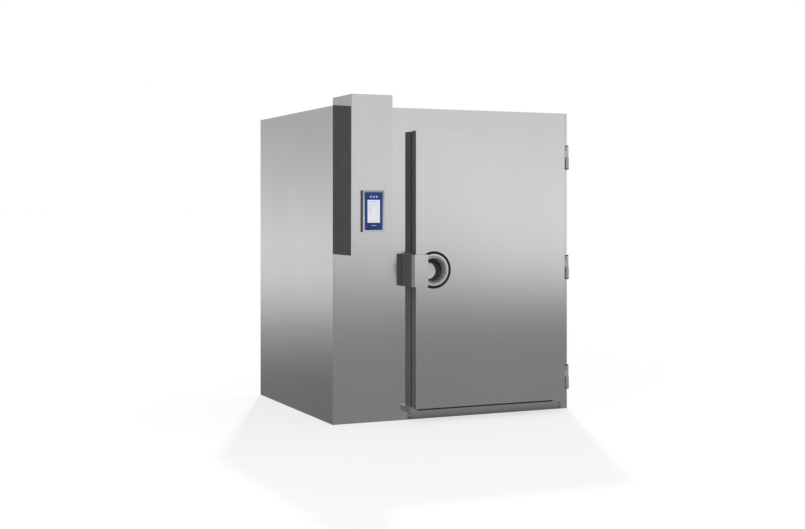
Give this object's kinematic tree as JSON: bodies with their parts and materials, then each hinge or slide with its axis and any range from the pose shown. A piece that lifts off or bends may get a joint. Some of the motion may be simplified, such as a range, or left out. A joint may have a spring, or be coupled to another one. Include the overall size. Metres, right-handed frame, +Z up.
{
  "type": "blast chiller",
  "caption": "Tall insulated steel roll-in cabinet with a hinged front door, round recessed handle, control column with display, and an evaporator behind a hinged fan panel.",
  "frame": {"origin": "centre of the cabinet's footprint, on the floor it stands on", "axes": "+Z up; +Y from the door to the back; +X to the right as one faces the door"},
  "size_m": [1.95, 2.114, 2.344],
  "materials": {
    "aluminium_fins": "mill-finish aluminium fins",
    "black_pvc": "black plastic pipe and gland",
    "black_seal": "black silicone and rubber seal",
    "brass": "machined brass",
    "bright_stainless": "polished stainless steel",
    "circuit_board": "green glass-fibre circuit board",
    "copper": "drawn copper tube",
    "dark_coated_steel": "dark grey powder-coated steel",
    "dark_hardware": "dark plated steel",
    "dark_profile": "dark grey rigid vinyl profile",
    "device_plastic": "light grey moulded plastic",
    "display_case": "dark moulded display case",
    "display_glass": "lit display behind glass, blue surround",
    "foam": "closed-cell polyurethane foam",
    "green_knob": "luminous green plastic",
    "inner_stainless": "stainless steel sheet, chamber side",
    "lamp_diffuser": "opal polycarbonate diffuser",
    "motor_paint": "dark grey painted aluminium",
    "nylon": "black nylon",
    "psu_metal": "stamped aluminium case",
    "rotor_plastic": "dark grey glass-filled plastic",
    "satin_stainless": "satin stainless steel sheet, fine vertical grain"
  },
  "bodies": {
    "cabinet": {"base_pan": "satin_stainless", "floor_plate": "inner_stainless", "left_outer_skin": "satin_stainless", "right_outer_skin": "satin_stainless", "rear_outer_skin": "satin_stainless", "roof_outer_skin": "satin_stainless", "front_outer_skin": "satin_stainless", "panel_insulation": "foam", "chamber_liner": "inner_stainless", "door_frame": "dark_profile", "threshold": "satin_stainless", "kick_plate": "satin_stainless", "kick_plate_screws": "dark_hardware", "latch_keeper": "dark_coated_steel", "keeper_pad": "nylon", "hinge_brackets": "bright_stainless", "hinge_pins": "dark_hardware", "panel_posts": "inner_stainless", "evaporator_coil": "aluminium_fins", "coil_pipework": "copper", "expansion_valve": "brass", "suction_line": "copper", "liquid_line": "copper", "drip_tray": "inner_stainless", "drain_pipe": "black_pvc", "bumper_rails": "inner_stainless", "ceiling_lamp": "lamp_diffuser", "air_probe": "bright_stainless", "column_back_plate": "inner_stainless", "column_cover": "satin_stainless", "column_side_panel": "dark_coated_steel", "column_cap": "satin_stainless", "mounting_rails": "inner_stainless", "rail_devices": "device_plastic", "power_supply": "psu_metal", "control_board": "circuit_board", "display_housing": "display_case", "display_bezel": "bright_stainless", "display_glass": "display_glass", "cable_gland": "black_pvc"},
    "door": {"door_outer_skin": "satin_stainless", "door_inner_skin": "inner_stainless", "door_insulation": "foam", "door_edge_profile": "dark_profile", "door_gasket": "black_seal", "door_wiper": "black_seal", "handle_bowl": "bright_stainless", "bowl_ring_seal": "black_seal", "hinge_leaves": "bright_stainless", "latch_bracket": "dark_coated_steel", "lever_pin": "bright_stainless"},
    "lever": {"handle_lever": "satin_stainless"},
    "release": {"release_rod": "bright_stainless", "release_knob": "green_knob"},
    "fan_panel": {"fan_panel": "inner_stainless", "fan_motors": "motor_paint", "fan_guards": "bright_stainless"},
    "fan_rotor_1": {"fan_rotor_1": "rotor_plastic"},
    "fan_rotor_2": {"fan_rotor_2": "rotor_plastic"},
    "fan_rotor_3": {"fan_rotor_3": "rotor_plastic"}
  },
  "joints": [
    {"name": "door_swing", "type": "hinge", "parent": "cabinet", "child": "door", "pos_m": [0.863, -1.02, 1.1055], "axis": [0, 0, 1], "range_deg": [0, 165]},
    {"name": "lever_pull", "type": "hinge", "parent": "door", "child": "lever", "pos_m": [-0.441, -1.055, 1.106], "axis": [0, 0, -1], "range_deg": [0, 15], "stiffness_Nm_per_rad": 12},
    {"name": "release_push", "type": "slide", "parent": "door", "child": "release", "axis": [0, -1, 0], "range_m": [0, 0.03]},
    {"name": "fan_panel_swing", "type": "hinge", "parent": "cabinet", "child": "fan_panel", "pos_m": [-0.453, 0.678, 1.153], "axis": [0, 0, 1], "range_deg": [0, 75]},
    {"name": "fan_1_spin", "type": "hinge", "parent": "fan_panel", "child": "fan_rotor_1", "pos_m": [-0.5, 0.01, 0.46833], "axis": [1, 0, 0], "continuous": true},
    {"name": "fan_2_spin", "type": "hinge", "parent": "fan_panel", "child": "fan_rotor_2", "pos_m": [-0.5, 0.01, 1.153], "axis": [1, 0, 0], "continuous": true},
    {"name": "fan_3_spin", "type": "hinge", "parent": "fan_panel", "child": "fan_rotor_3", "pos_m": [-0.5, 0.01, 1.83767], "axis": [1, 0, 0], "continuous": true}
  ],
  "couplings": [
    {"joint": "release_push", "follows": "lever_pull", "m_per_rad": 0.11418}
  ]
}
